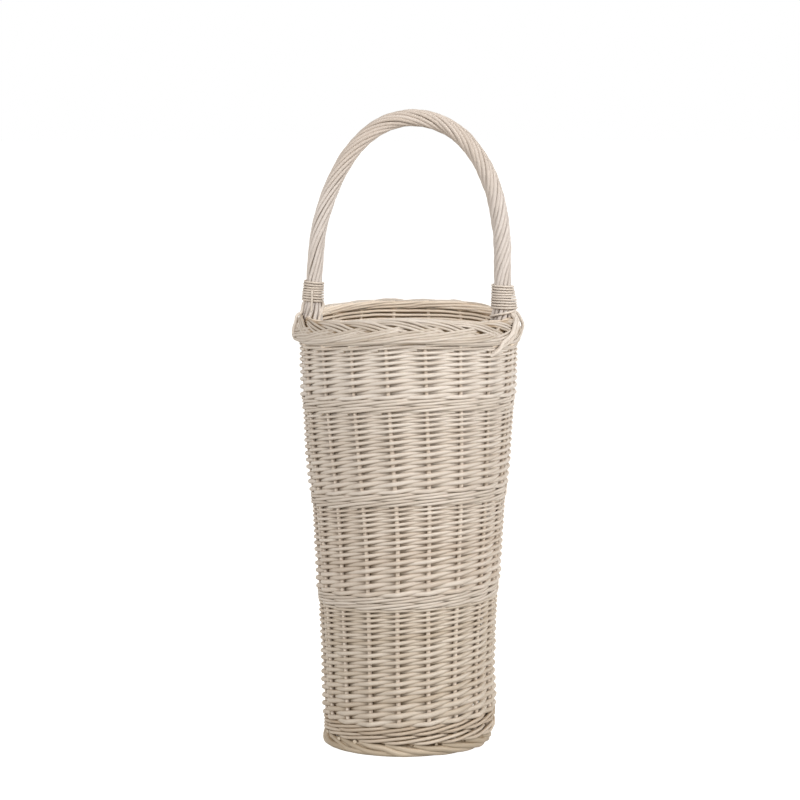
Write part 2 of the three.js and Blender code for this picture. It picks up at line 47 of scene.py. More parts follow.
# Base cross: five plain willow sticks threaded through splits in four others and opened out
# like spokes. A split stick is two half rounds where the plain ones pass between them.
base_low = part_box("base_weave")[0].z
base_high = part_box("base_weave")[1].z
base_middle = (base_low + base_high) / 2
base_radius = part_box("base_weave")[1].x
cross_turn = math.radians(6.3)
spoke_angle = math.radians(20)
stick_pitch = 0.0072
stick_straight = 0.024
stick_reach = base_radius - 0.0011
stick_radius = 0.0032
stick_shrink = 0.95
split_half_radius = 0.0025
split_lift = 0.0047
split_end_lift = 0.0012


def smooth_line(stops, steps):
    """Evenly spaced points along a smooth line through given stops."""
    stops = np.asarray(stops, float)
    ends = np.vstack([2 * stops[0] - stops[1], stops, 2 * stops[-1] - stops[-2]])
    dense = []
    for i in range(1, len(ends) - 2):
        spans = [math.sqrt(np.linalg.norm(ends[i + k] - ends[i + k - 1])) for k in range(3)]
        a, b, c, d = ends[i - 1:i + 3]
        leave = ((b - a) / spans[0] - (c - a) / (spans[0] + spans[1]) + (c - b) / spans[1]) * spans[1]
        arrive = ((c - b) / spans[1] - (d - b) / (spans[1] + spans[2]) + (d - c) / spans[2]) * spans[1]
        t = np.linspace(0, 1, 41)[:, None][:-1]
        dense.append(b * (2 * t**3 - 3 * t**2 + 1) + leave * (t**3 - 2 * t**2 + t)
                     + c * (3 * t**2 - 2 * t**3) + arrive * (t**3 - t**2))
    dense = np.vstack([*dense, stops[-1:]])
    return evenly(dense, steps)


def evenly(points, steps):
    """The same line with its points spread evenly along it."""
    lengths = np.concatenate([[0], np.cumsum(np.linalg.norm(np.diff(points, axis=0), axis=1))])
    wanted = np.linspace(0, lengths[-1], steps)
    return np.column_stack([np.interp(wanted, lengths, points[:, k]) for k in range(3)])


def sweep_rods(name, rods, sides=8, seed=1):
    """One mesh of round willow rods. A rod is its line of points, its radii, and whether it closes."""
    draw = np.random.RandomState(seed)
    curve = bpy.data.curves.new(name, "CURVE")
    curve.dimensions = "3D"
    curve.bevel_depth = 1.0
    curve.bevel_resolution = sides // 2 - 2
    round_angles = np.arange(sides) * 2 * math.pi / sides
    spaces, tints, tips = [], [], []
    for points, radii, closed in rods:
        points = np.asarray(points, float)
        radii = np.broadcast_to(radii, len(points)).astype(float)
        tip = np.zeros(len(points), bool)
        if not closed:
            first = points[0] + (points[0] - points[1]) * 0.02
            last = points[-1] + (points[-1] - points[-2]) * 0.02
            points = np.vstack([first, points, last])
            radii = np.concatenate([[1e-6], radii, [1e-6]])
            tip = np.concatenate([[True], tip, [True]])
        spline = curve.splines.new("POLY")
        spline.points.add(len(points) - 1)
        spline.points.foreach_set("co", np.column_stack([points, np.ones(len(points))]).ravel())
        spline.points.foreach_set("radius", radii)
        spline.use_cyclic_u = closed
        along = np.concatenate([[0], np.cumsum(np.linalg.norm(np.diff(points, axis=0), axis=1))])
        along += draw.uniform(0, 20)
        body = np.where(tip, np.median(radii), radii)
        spaces.append(np.stack([
            np.repeat(along[:, None], sides, axis=1),
            body[:, None] * np.cos(round_angles),
            body[:, None] * np.sin(round_angles),
        ], axis=2).reshape(-1, 3))
        tints.append(np.full(len(points) * sides, draw.uniform(0, 1)))
        tips.append(np.repeat(tip, sides))
    piece = bpy.data.objects.new(name, curve)
    bpy.context.scene.collection.objects.link(piece)
    bpy.ops.object.select_all(action="DESELECT")
    piece.select_set(True)
    bpy.context.view_layer.objects.active = piece
    bpy.ops.object.convert(target="MESH")
    piece = bpy.context.object
    mesh = piece.data
    space = mesh.attributes.new("rod_space", "FLOAT_VECTOR", "POINT")
    space.data.foreach_set("vector", np.vstack(spaces).astype(np.float32).ravel())
    tint = mesh.attributes.new("rod_tint", "FLOAT", "POINT")
    tint.data.foreach_set("value", np.concatenate(tints).astype(np.float32))
    corners = np.zeros(len(mesh.loops), np.int32)
    mesh.loops.foreach_get("vertex_index", corners)
    on_tip = np.concatenate(tips)[corners].reshape(-1, 4).any(axis=1)
    mesh.polygons.foreach_set("material_index", on_tip.astype(np.int32))
    bpy.ops.object.mode_set(mode="EDIT")
    bpy.ops.mesh.select_all(action="SELECT")
    bpy.ops.mesh.remove_doubles(threshold=5e-6)
    bpy.ops.object.mode_set(mode="OBJECT")
    bpy.ops.object.shade_smooth_by_angle(angle=math.radians(50))
    return piece


def willow_grain():
    """Peeled willow: a grain that runs along the rod, slow blotches, flecks, a tint for each rod, and
    painted shade, which browns and darkens the wood in the hollows and creases of the weave."""
    grain = bpy.data.node_groups.new("Willow grain", "ShaderNodeTree")
    for label, kind in (("Along rod", "NodeSocketVector"), ("Rod tint", "NodeSocketFloat"),
                        ("Painted shade", "NodeSocketFloat"), ("Pale", "NodeSocketColor"),
                        ("Deep", "NodeSocketColor")):
        grain.interface.new_socket(label, in_out="INPUT", socket_type=kind)
    for label, kind in (("Color", "NodeSocketColor"), ("Roughness", "NodeSocketFloat"),
                        ("Height", "NodeSocketFloat")):
        grain.interface.new_socket(label, in_out="OUTPUT", socket_type=kind)
    nodes, links = grain.nodes, grain.links
    inside = nodes.new("NodeGroupInput")
    outside = nodes.new("NodeGroupOutput")

    def stretched_noise(scale, detail, low, high):
        stretch = nodes.new("ShaderNodeVectorMath")
        stretch.operation = "MULTIPLY"
        stretch.inputs[1].default_value = scale
        noise = nodes.new("ShaderNodeTexNoise")
        noise.inputs["Scale"].default_value = 1.0
        noise.inputs["Detail"].default_value = detail
        spread = nodes.new("ShaderNodeMapRange")
        spread.inputs["From Min"].default_value = low
        spread.inputs["From Max"].default_value = high
        links.new(inside.outputs["Along rod"], stretch.inputs[0])
        links.new(stretch.outputs[0], noise.inputs["Vector"])
        links.new(noise.outputs["Fac"], spread.inputs["Value"])
        return spread.outputs["Result"]

    def weighted(pairs):
        total = None
        for socket, weight in pairs:
            step = nodes.new("ShaderNodeMath")
            step.operation = "MULTIPLY_ADD"
            step.inputs[1].default_value = weight
            step.inputs[2].default_value = 0.0
            links.new(socket, step.inputs[0])
            if total is not None:
                links.new(total, step.inputs[2])
            total = step.outputs[0]
        return total

    streaks = stretched_noise((55, 900, 900), 4, 0.3, 0.7)
    blotches = stretched_noise((14, 90, 90), 2, 0.35, 0.65)
    flecks = stretched_noise((160, 420, 420), 2, 0.68, 0.78)
    mix = nodes.new("ShaderNodeMix")
    mix.data_type = "RGBA"
    links.new(weighted([(inside.outputs["Rod tint"], 0.5), (streaks, 0.25), (blotches, 0.28),
                        (flecks, 0.4)]), mix.inputs["Factor"])
    links.new(inside.outputs["Pale"], mix.inputs["A"])
    links.new(inside.outputs["Deep"], mix.inputs["B"])
    # Painted shade: the colour is multiplied towards brown where the mark lays shade in hollows and creases.
    shade_mix = nodes.new("ShaderNodeMix")
    shade_mix.data_type = "RGBA"
    shade_mix.blend_type = "MULTIPLY"
    shade_mix.inputs["B"].default_value = (0.68, 0.55, 0.39, 1)
    links.new(inside.outputs["Painted shade"], shade_mix.inputs["Factor"])
    links.new(mix.outputs["Result"], shade_mix.inputs["A"])
    links.new(shade_mix.outputs["Result"], outside.inputs["Color"])
    shine = nodes.new("ShaderNodeMapRange")
    shine.inputs["To Min"].default_value = 0.5
    shine.inputs["To Max"].default_value = 0.7
    links.new(streaks, shine.inputs["Value"])
    links.new(shine.outputs["Result"], outside.inputs["Roughness"])
    links.new(weighted([(streaks, 0.5), (blotches, 0.5)]), outside.inputs["Height"])
    return grain


grain_group = willow_grain()


def willow(name, pale, deep, relief=0.2):
    """Willow material from the shared grain, with its own pale and deep colours."""
    material = bpy.data.materials.new(name)
    material.use_nodes = True
    nodes, links = material.node_tree.nodes, material.node_tree.links
    shader = nodes["Principled BSDF"]
    shader.inputs["Specular IOR Level"].default_value = 0.25
    group = nodes.new("ShaderNodeGroup")
    group.node_tree = grain_group
    group.inputs["Pale"].default_value = (*pale, 1)
    group.inputs["Deep"].default_value = (*deep, 1)
    space = nodes.new("ShaderNodeAttribute")
    space.attribute_name = "rod_space"
    tint = nodes.new("ShaderNodeAttribute")
    tint.attribute_name = "rod_tint"
    # Painted shade: each piece marks how much its hollows and creases are darkened.
    hollow = nodes.new("ShaderNodeAttribute")
    hollow.attribute_name = "rod_painted_shade"
    bump = nodes.new("ShaderNodeBump")
    bump.inputs["Strength"].default_value = relief
    bump.inputs["Distance"].default_value = 0.0003
    links.new(hollow.outputs["Fac"], group.inputs["Painted shade"])
    links.new(space.outputs["Vector"], group.inputs["Along rod"])
    links.new(tint.outputs["Fac"], group.inputs["Rod tint"])
    links.new(group.outputs["Color"], shader.inputs["Base Color"])
    links.new(group.outputs["Roughness"], shader.inputs["Roughness"])
    links.new(group.outputs["Height"], bump.inputs["Height"])
    links.new(bump.outputs["Normal"], shader.inputs["Normal"])
    return material


def place_piece(piece, skin, slot, *cad_nodes):
    """Gives a piece its skin and the pale wood of its cut ends, sets it under the root body and
    hides the parts of model.glb that it stands for.
    """
    piece.data.materials.append(skin)
    piece.data.materials.append(cut_willow)
    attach(piece, "root")
    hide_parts(*cad_nodes)


cut_willow = willow("cut willow", (0.78, 0.70, 0.58), (0.62, 0.52, 0.40), 0.6)
base_willow = willow("base willow", (0.66, 0.57, 0.46), (0.46, 0.37, 0.27))


def stick_line(place, heading, lift, end_lift=0.0):
    """Line of a base stick from end to end, straight through the cross and fanned out beyond it."""
    along = np.array([math.cos(heading), math.sin(heading), 0])
    aside = np.array([-math.sin(heading), math.cos(heading), 0])
    stops = []
    for side in (-1, 1):
        end_angle = heading + side * place * spoke_angle
        end = side * stick_reach * np.array([math.cos(end_angle), math.sin(end_angle), 0])
        knee = side * stick_straight * along + place * stick_pitch * aside
        end[2] = base_middle + end_lift
        knee[2] = base_middle + lift
        stops += [end, knee] if side < 0 else [knee, end]
    return smooth_line(stops, 60)


sticks = []
for place in (-2, -1, 0, 1, 2):
    sticks.append((stick_line(place, cross_turn, 0), stick_radius * stick_shrink, False))
for place in (-1.5, -0.5, 0.5, 1.5):
    for side in (-1, 1):
        line = stick_line(place, cross_turn + math.pi / 2, side * split_lift, side * split_end_lift)
        sticks.append((line, split_half_radius, False))
base_cross = sweep_rods("base_cross", sticks, seed=3)
place_piece(base_cross, base_willow, "base", *[f"base_stick_{i}" for i in range(1, 6)],
            *[f"base_split_stick_{i}" for i in range(1, 5)])

# Base weave: thin rods worked in pairs round the opened cross, one over and one under each
# spoke, from the tied middle out to the ring of stakes.
pairing_rod = 0.0014
pairing_start = 0.0262
pairing_rounds = 21
spoke_count = 18


def spoke_angles(radius):
    """Headings at which the spokes pass a radius, in order round the base."""
    headings = []
    for heading, places in ((cross_turn, (-2, -1, 0, 1, 2)),
                            (cross_turn + math.pi / 2, (-1.5, -0.5, 0.5, 1.5))):
        for side in (0, math.pi):
            for place in places:
                knee_angle = math.atan2(place * stick_pitch, stick_straight)
                knee_radius = math.hypot(place * stick_pitch, stick_straight)
                share = max(0.0, (radius - knee_radius) / (stick_reach - knee_radius))
                angle = knee_angle + (place * spoke_angle - knee_angle) * min(1.0, share * 1.4)
                headings.append((heading + side + angle) % (2 * math.pi))
    return np.sort(headings)


pairs = []
for round_index in range(pairing_rounds):
    radius = pairing_start + (base_radius - pairing_rod - pairing_start) * round_index / (pairing_rounds - 1)
    headings = spoke_angles(radius)
    headings = np.append(headings, headings[0] + 2 * math.pi)
    places = np.arange(0, spoke_count, 0.2)
    angles = np.interp(places, np.arange(spoke_count + 1), headings)
    for side in (-1, 1):
        height = base_middle + side * (base_high - base_middle - pairing_rod) * np.cos(math.pi * places)
        ring = np.column_stack([radius * np.cos(angles), radius * np.sin(angles), height])
        pairs.append((ring, pairing_rod, True))
base_weave = sweep_rods("base_weaving", pairs, sides=6, seed=4)
place_piece(base_weave, base_willow, "base", "base_weave")

# Stakes: eighteen upright rods set in beside the spokes and bent up. The weaving pulls them a
# little askew, and it lets them flare towards the rim.
stake_count = 18
stake_radius = 0.0019
stake_pitch = 2 * math.pi / stake_count
ring_low = 0.0943
ring_high = 0.1206
flare_start = 0.080
flare_end = 0.470
twist_low = math.radians(2.9)
twist_high = math.radians(-1.8)
stakes_foot = 0.0151
stakes_top = 0.47035
stake_fullness = 1.36
stake_thinning = 0.28
stake_forward = 0.0013
stake_tuck_at_foot = 0.0040
side_climb = 0.0044
saddle_dip = 0.004
rim_tilt = 0.0014
rim_tilt_beside_legs = 0.005
waist_depth = 0.0016
foot_shift = 0.0016
wander = np.random.RandomState(11)
wander_wide = np.radians(wander.uniform(-0.45, 0.45, stake_count))
wander_narrow = np.radians(wander.uniform(-0.25, 0.25, stake_count))
wander_phase = wander.uniform(0, 2 * math.pi, (2, stake_count))


def smooth_step(low, high, value):
    """Eased share of the way from low to high."""
    share = np.clip((np.asarray(value, float) - low) / (high - low), 0, 1)
    return share * share * (3 - 2 * share)


def wall_radius(z):
    """Radius of the ring of stakes at a height."""
    share = np.clip((np.asarray(z, float) - flare_start) / (flare_end - flare_start), 0, 1)
    eased = (share + smooth_step(0, 1, share)) / 2
    return ring_low + (ring_high - ring_low) * eased


def wall_twist(z):
    """How far round the wall the stakes have turned at a height."""
    return twist_low + (twist_high - twist_low) * smooth_step(0.230, 0.490, z)


def stake_heading(index, z):
    """Heading of a stake at a height, with the way it wanders."""
    index = np.asarray(index, int)
    z = np.asarray(z, float)
    turn = index % stake_count
    sway = (wander_wide[turn] * np.sin(z * 2 * math.pi / 0.36 + wander_phase[0][turn])
            + wander_narrow[turn] * np.sin(z * 2 * math.pi / 0.17 + wander_phase[1][turn]))
    return index * stake_pitch + wall_twist(z) + sway


def settle(points):
    """Moves points as the real stand has settled: its bands climb to the right and dip at the handle,
    its rim leans forward, its waist is drawn in and its foot has shifted to the right."""
    heading = np.arctan2(points[:, 1], points[:, 0])
    z = points[:, 2]
    climb = side_climb * smooth_step(0.012, 0.036, z) * (1 - smooth_step(0.330, 0.470, z))
    saddle = saddle_dip * smooth_step(0.130, 0.310, z)
    rim_lean = (rim_tilt + rim_tilt_beside_legs * np.abs(np.cos(heading))) * smooth_step(0.420, 0.490, z)
    narrow = smooth_step(0.17, 0.24, z) * (1 - smooth_step(0.30, 0.36, z))
    waist = waist_depth * narrow * (0.6 - 0.4 * np.cos(heading))
    moved = points.copy()
    moved[:, 0] += foot_shift * (1 - smooth_step(0.030, 0.090, z)) - waist * np.cos(heading)
    moved[:, 1] -= waist * np.sin(heading)
    moved[:, 2] = z + climb * np.cos(heading) - saddle * np.cos(2 * heading) + rim_lean * np.sin(heading)
    return moved


def on_wall(place, out, z):
    """Points on the wall: place counts stakes, out is the distance outside their ring."""
    place = np.asarray(place, float)
    below = np.floor(place).astype(int)
    share = place - below
    heading = stake_heading(below, z) * (1 - share) + stake_heading(below + 1, z) * share
    radius = wall_radius(z) + out
    return settle(np.column_stack([radius * np.cos(heading), radius * np.sin(heading), z]))


def vertex_places(piece):
    """All points of a piece as an array."""
    places = np.zeros(len(piece.data.vertices) * 3, np.float32)
    piece.data.vertices.foreach_get("co", places)
    return places.reshape(-1, 3)


def mark_painted_shade(piece, depth):
    """Says for each point of a piece how much painted shade darkens it, from none at 0 to all at 1."""
    mark = piece.data.attributes.new("rod_painted_shade", "FLOAT", "POINT")
    mark.data.foreach_set("value", np.asarray(depth, np.float32))


def crease_shade(piece, strength):
    """Marks painted shade on the upper and lower sides of lying rods, where they touch the next ones."""
    normals = np.zeros(len(piece.data.vertices) * 3, np.float32)
    piece.data.vertices.foreach_get("normal", normals)
    return strength * smooth_step(0.7, 1.0, np.abs(normals[2::3]))


def paint_weave_shade(piece, crease=0.45):
    """Marks painted shade by how deep each point of the weave lies in the wall, more towards the foot."""
    places = vertex_places(piece)
    out = np.hypot(places[:, 0], places[:, 1]) - wall_radius(places[:, 2])
    z = places[:, 2]
    shade_towards_foot = 1 - 0.45 * smooth_step(0.030, 0.060, z) - 0.5 * smooth_step(0.10, 0.42, z)
    mark_painted_shade(piece, np.maximum(shade_towards_foot * (1 - smooth_step(-0.0022, 0.0012, out)), crease_shade(piece, crease)))


stake_willow = willow("stake willow", (0.76, 0.68, 0.60), (0.58, 0.49, 0.40))
stakes = []
for index in range(stake_count):
    z = np.linspace(stakes_foot, stakes_top, 90)
    thick = stake_fullness - stake_thinning * smooth_step(0.30, 0.44, z)
    forward = stake_forward - 0.0005 * smooth_step(0.05, 0.35, z)
    forward = forward - stake_tuck_at_foot * (1 - smooth_step(0.015, 0.040, z))
    stakes.append((on_wall(np.full(len(z), float(index)), forward, z), stake_radius * thick, False))
stake_piece = sweep_rods("stakes", stakes, seed=12)
paint_weave_shade(stake_piece, 0)
place_piece(stake_piece, stake_willow, "stakes", *[f"stake_{i:02d}" for i in range(1, stake_count + 1)])

# Upsett and wales: rods worked three at a time, each passing before two stakes and behind one,
# so that the band looks like a rope. The upsett at the foot uses thicker rods.
wale_willow = willow("wale willow", (0.698, 0.638, 0.573), (0.488, 0.419, 0.349))


def wale_rods(low, high, rounds, rod, seed, drawn_in=0.0):
    """The rods of a wale between two heights; drawn_in pulls its lower edge in."""
    draw = np.random.RandomState(seed)
    rods = []
    height = (high - low) / rounds
    places = np.arange(0, stake_count, 0.125) + stake_count / 4
    for round_index in range(rounds):
        middle = low + height * (round_index + 0.5)
        for turn in range(3):
            phase = (places + turn + round_index) % 3
            front = np.where(phase < 1, 1 - 0.08 * np.sin(math.pi * phase), np.cos(math.pi * (phase - 1)))
            ahead = np.where(phase > 2.5, phase - 3, phase)
            lift = np.where(ahead < 1.5, -np.cos(math.pi * (ahead + 0.5) / 2),
                            np.cos(math.pi * (ahead - 1.5)))
            sway = 0.0003 * np.sin(places * draw.uniform(1.2, 1.9) + draw.uniform(0, 6))
            z = middle + lift * height / 2 / math.sqrt(2) + sway * 0.6
            radii = rod * (1 + 0.05 * np.sin(places * draw.uniform(0.5, 0.9) + draw.uniform(0, 6)))
            inward = drawn_in * (1 - smooth_step(low, high, z))
            rods.append((on_wall(places, front * (stake_radius + rod * 0.92) + sway - inward, z), radii, True))
    return rods


upsett_willow = willow("upsett willow", (0.606, 0.53, 0.443), (0.411, 0.324, 0.238))
upsett = sweep_rods("upsett", wale_rods(0.0148, 0.0360, 2, 0.0021, 21, 0.0004), seed=21)
paint_weave_shade(upsett, 0.8)
place_piece(upsett, upsett_willow, "wales", "upsett_wale")
for index, (node, low, high) in enumerate((("wale_lower", 0.17105, 0.18505),
                                           ("wale_middle", 0.28645, 0.30045),
                                           ("wale_upper", 0.39335, 0.40735))):
    band = sweep_rods(f"{node}_rods", wale_rods(low, high, 2, 0.0018, 22 + index), seed=22 + index)
    paint_weave_shade(band)
    place_piece(band, wale_willow, "wales", node)
top_band = sweep_rods("wale_top_rods", wale_rods(0.46515, 0.47035, 1, 0.0016, 26), seed=26)
paint_weave_shade(top_band)
place_piece(top_band, wale_willow, "wales", "wale_top")

# Sidings of French randing: eighteen weavers a siding, each starting thick at its own stake and
# climbing one row at every stake to the right, so that each band thins towards its top.
rod_to_row = 0.605
swell_inside = 0.42
swell_outside = 0.09
drop_inside = 0.06
wobble_outward = 0.00025
wobble_upward = 0.0003
steps_per_stake = 14


def bend_round_stakes(travel):
    """Where a weaver lies along its way, from 1 in front of the stakes to -1 behind them. It dips
    sharply behind every second stake and lies flatter in front of the others."""
    past = travel % 2 - 1
    clear = np.abs(past)**np.where(past < 0, 0.85, 1.15)
    return 2 * ((clear**2 + 0.003)**0.37 - 0.003**0.37) / (1.003**0.37 - 0.003**0.37) - 1


def siding_rods(low, rows, butt, tip, seed):
    """The weavers of a siding that starts at a height, from row heights of butt to tip."""
    draw = np.random.RandomState(seed)
    rods = []
    for start in range(stake_count):
        travel = np.arange(-0.85, rows - 0.2, 1 / steps_per_stake)
        row = travel + 0.5
        held = np.where(travel < 0, 0.5 + travel * 0.3, row)
        held = np.where(travel > rows - 1, rows - 0.5 + (travel - rows + 1) * 0.3, held)
        z = low + butt * held + (tip - butt) * held**2 / (2 * rows)
        row_height = butt + (tip - butt) * np.clip(row, 0, rows) / rows
        knots = np.arange(rows + 4)
        wobble = np.interp(travel + 1, knots, draw.uniform(-1, 1, len(knots)))
        thick = np.interp(travel + 1, knots, draw.uniform(-1, 1, len(knots)))
        radii = rod_to_row * row_height * (1 + 0.05 * thick + draw.uniform(-0.05, 0.05))
        radii = radii * (0.86 + 0.14 * smooth_step(-0.5, 1.2, travel))
        swing = bend_round_stakes(travel)
        radii = radii * np.where(swing < 0, 1 - swell_inside * swing, 1 + swell_outside * swing)
        out = swing * (stake_radius + 0.8 * radii) + wobble_outward * wobble
        z = z + wobble_upward * np.interp(travel + 1, knots, draw.uniform(-1, 1, len(knots)))
        z = z + drop_inside * row_height * np.minimum(swing, 0) * smooth_step(0, 2, travel)
        rods.append((on_wall(start + travel, out, z), radii, False))
    return rods


# The sidings' colours step from darker at the foot to paler at the rim: painted shade for light from above.
for node, low, rows, butt, tip, pale, deep in (
        ("siding_bottom", 0.0360, 35, 0.0051, 0.0026, (0.629, 0.564, 0.489), (0.47, 0.395, 0.31)),
        ("siding_lower", 0.18535, 28, 0.0049, 0.0023, (0.672, 0.61, 0.542), (0.509, 0.431, 0.355)),
        ("siding_upper", 0.30075, 26, 0.0046, 0.0025, (0.681, 0.624, 0.562), (0.538, 0.466, 0.394)),
        ("siding_top", 0.40765, 16, 0.0045, 0.00265, (0.705, 0.651, 0.593), (0.577, 0.509, 0.441))):
    siding_willow = willow(f"{node} willow", pale, deep)
    siding = sweep_rods(f"{node}_rods", siding_rods(low, rows, butt, tip, rows), seed=rows)
    paint_weave_shade(siding)
    place_piece(siding, siding_willow, "weave", node)

# Foot border: eighteen thick rods under the base. Each comes down beside its stake, sweeps to the
# right over the one before it, lies on the floor and is tucked away inside.
foot_willow = willow("foot willow", (0.55, 0.468, 0.366), (0.347, 0.275, 0.193))
foot_stops = ((-0.45, 0.0925, 0.0152), (0.0, 0.0938, 0.0120), (0.5, 0.0937, 0.0087), (1.0, 0.0926, 0.0062),
              (1.5, 0.0907, 0.0046), (2.0, 0.0882, 0.0042), (2.6, 0.0845, 0.0040), (3.1, 0.0815, 0.0052))
foot_rest = 0.0040
foot_rod = 0.0037
foot_taper = 0.0009
filler_rod = 0.0024
tip_root_radius = 0.0860
tip_root_height = 0.0150
tip_reach_left = 0.0035
trodden_everywhere = 0.0012
trodden_left = 0.0055
foot_rods = []
foot_draw = np.random.RandomState(31)


def foot_spread(heading, place):
    """How much further out the rods lie on the side to which the foot has been trodden."""
    to_left = float(smooth_step(-0.4, 0.9, -math.cos(heading)))
    return (trodden_everywhere + trodden_left * to_left) * float(smooth_step(0.2, 1.8, place))


for index in range(stake_count):
    stops = []
    for place, radius, z in foot_stops:
        heading = (index + place) * stake_pitch + twist_low
        radius += foot_spread(heading, place) + foot_draw.uniform(-0.0006, 0.0006)
        uneven = foot_draw.uniform(-0.0014, 0.0012) if -0.2 < place < 1.2 else 0
        stops.append((radius * math.cos(heading), radius * math.sin(heading), z + uneven))
    share = np.linspace(0, 1, 40)
    radii = (foot_rod - foot_taper * share) * (1 + foot_draw.uniform(-0.2, 0.13))
    radii = radii * (0.74 + 0.26 * smooth_step(0, 0.1, share))
    line = smooth_line(stops, 40)
    line[:, 2] = radii + np.maximum(line[:, 2] - foot_rest, 0)
    foot_rods.append((line, radii, False))
    # A cut end looks out above the border.
    heading = (index + foot_draw.uniform(0.2, 0.5)) * stake_pitch + twist_low
    tip_from = np.array([tip_root_radius * math.cos(heading), tip_root_radius * math.sin(heading),
                         tip_root_height])
    heading += foot_draw.uniform(0.03, 0.05)
    reach = tip_reach_left * float(smooth_step(0.2, 0.7, -math.cos(heading)))
    tip_radius = foot_draw.uniform(0.0915, 0.0940) + reach
    tip_to = np.array([tip_radius * math.cos(heading), tip_radius * math.sin(heading),
                       foot_draw.uniform(0.0128, 0.0150)])
    foot_rods.append((np.linspace(tip_from, tip_to, 4), foot_draw.uniform(0.0018, 0.0024), False))

# Inside the border lie the ends of the rods, packed round the base. Each ring has its radius, its
# height and how far it follows the spread of the border.
filler_rings = ((0.0890, 0.0085, 0.6), (0.0885, 0.0115, 0.55), (0.0876, 0.0145, 0.4), (0.0878, 0.0178, 0.15))
for radius, z, follows in filler_rings:
    around = np.linspace(0, 2 * math.pi, 120, endpoint=False)
    radius = radius + follows * np.array([foot_spread(heading, 1.6) for heading in around])
    ring = np.column_stack([radius * np.cos(around), radius * np.sin(around),
                            z + 0.0008 * np.sin(around * 9 + z * 900)])
    foot_rods.append((ring, filler_rod, True))
foot = sweep_rods("foot_border_rods", foot_rods, sides=12, seed=32)
# Painted shade darkens the rods inward of the border and where rods touch, but not near the floor.
foot_places = vertex_places(foot)
foot_depth = 1 - smooth_step(0.0898, 0.0925, np.hypot(foot_places[:, 0], foot_places[:, 1]))
mark_painted_shade(foot, np.maximum(foot_depth, crease_shade(foot, 0.7)) * smooth_step(0.0055, 0.0085, foot_places[:, 2]))
place_piece(foot, foot_willow, "borders", "foot_border")

# Plaited border: three rods at every stake, bent to the right along the lower edge. They rise over
# the front, pass behind, lie along the top edge and come down the front again under the next ones.
# A second set comes over the top edge and down the inside.
border_willow = willow("border willow", (0.664, 0.605, 0.545), (0.437, 0.367, 0.294))
border_low = 0.47065
border_seat = 0.0006
plait_tilt = math.radians(20)
plait_swing = 0.0091
plait_lift = 0.0035
strand_width = 0.010
strand_thickness = 0.0031
border_middle = border_low + border_seat + (plait_swing + strand_width / 2) * math.cos(plait_tilt)
border_top = border_low + border_seat + 2 * (plait_swing + strand_width / 2) * math.cos(plait_tilt)
border_radius = float(wall_radius(stakes_top)) + 0.001
border_rod = 0.00168
border_taper = 0.2
spacing_share = 1.2
stake_step_mm = 42
inner_row_rod = 0.0017
swell_at_legs_mm = 3.2
tuck_at_right_mm = 4.0

# Each stop is a place in stakes from the rod's own, its height and its depth on the border in
# millimetres, and how far apart the three rods lie there.
outer_stops = np.array((
    (0.0, -12.6, -2.4, 1.6), (0.1, -11.8, -1.6, 2.2), (0.4, -10.0, 0.0, 2.6), (1.2, -9.4, 1.8, 2.75),
    (2.0, -8.4, 3.3, 2.75), (2.4, -6.6, 4.1, 2.8), (2.85, -3.0, 4.4, 2.9), (3.25, 0.8, 3.0, 2.9),
    (3.6, 5.0, -0.6, 2.5), (4.3, 9.3, -2.0, 2.0), (5.1, 11.3, -1.8, 1.6), (5.75, 11.5, 0.2, 1.5),
    (6.2, 10.6, 3.0, 2.0), (6.6, 6.3, 4.4, 2.8), (7.05, 0.8, 4.0, 2.9), (7.5, -4.4, 2.4, 2.8),
    (7.9, -7.8, 0.2, 2.4), (8.4, -10.0, -2.2, 2.0)))
inner_stops = np.array((
    (-0.6, 8.0, -0.6, 1.8), (-0.1, 12.4, -1.2, 1.5), (0.9, 12.4, -2.9, 1.5), (1.5, 11.4, -4.2, 1.5),
    (2.1, 9.9, -4.4, 1.4), (2.6, 8.4, -3.4, 1.3), (2.9, 7.4, -1.4, 1.2)))
inner_rows = np.arange(-12.6, 6.0, 2.5)


def in_border(heading, along, out):
    """Points in the border: along runs up its width and out is away from the middle of the stand."""
    radius = border_radius - along * math.sin(plait_tilt) + out * math.cos(plait_tilt)
    z = border_middle + along * math.cos(plait_tilt) + out * math.sin(plait_tilt)
    return settle(np.column_stack([radius * np.cos(heading), radius * np.sin(heading), z]))


def border_heading(place):
    """Heading at a place counted in stakes, as the stakes really stand under the border."""
    below = np.floor(place).astype(int)
    share = place - below
    return stake_heading(below, 0.470) * (1 - share) + stake_heading(below + 1, 0.470) * share


